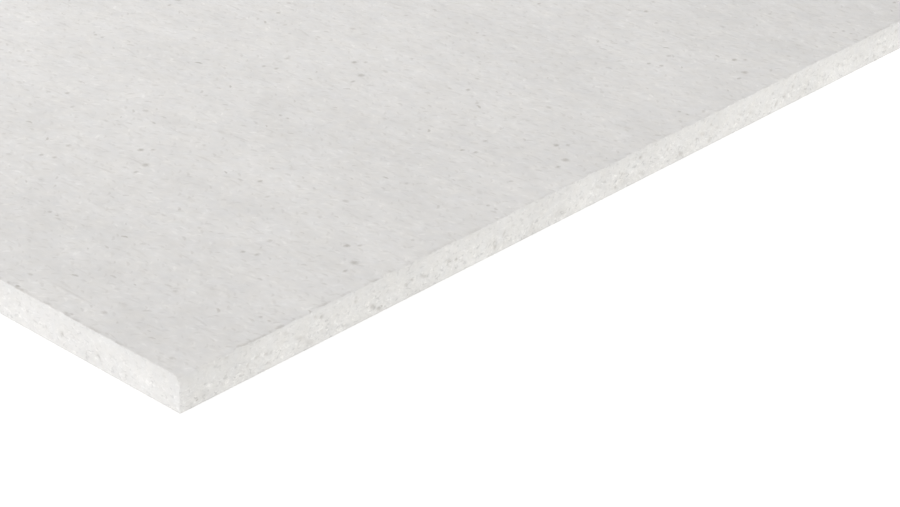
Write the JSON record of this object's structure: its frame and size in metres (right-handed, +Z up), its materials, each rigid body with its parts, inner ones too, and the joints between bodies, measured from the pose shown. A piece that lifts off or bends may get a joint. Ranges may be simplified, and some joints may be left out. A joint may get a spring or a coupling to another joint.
{
  "type": "gypsum fibreboard drywall sheet",
  "caption": "Flat rectangular drywall sheet of gypsum fibreboard, square-sawn on all sides, for lining walls, ceilings and floors.",
  "frame": {"origin": "middle of the back face, in the plane that the sheet lies on", "axes": "+X along the sheet's length, +Y across its width, +Z up through its thickness and out of the front face; the knocked corner is at +X, -Y"},
  "size_m": [2.4, 1.2, 0.0125],
  "materials": {
    "gypsum_fibre": "matte"
  },
  "bodies": {
    "root": {"board": "gypsum_fibre"}
  },
  "joints": []
}
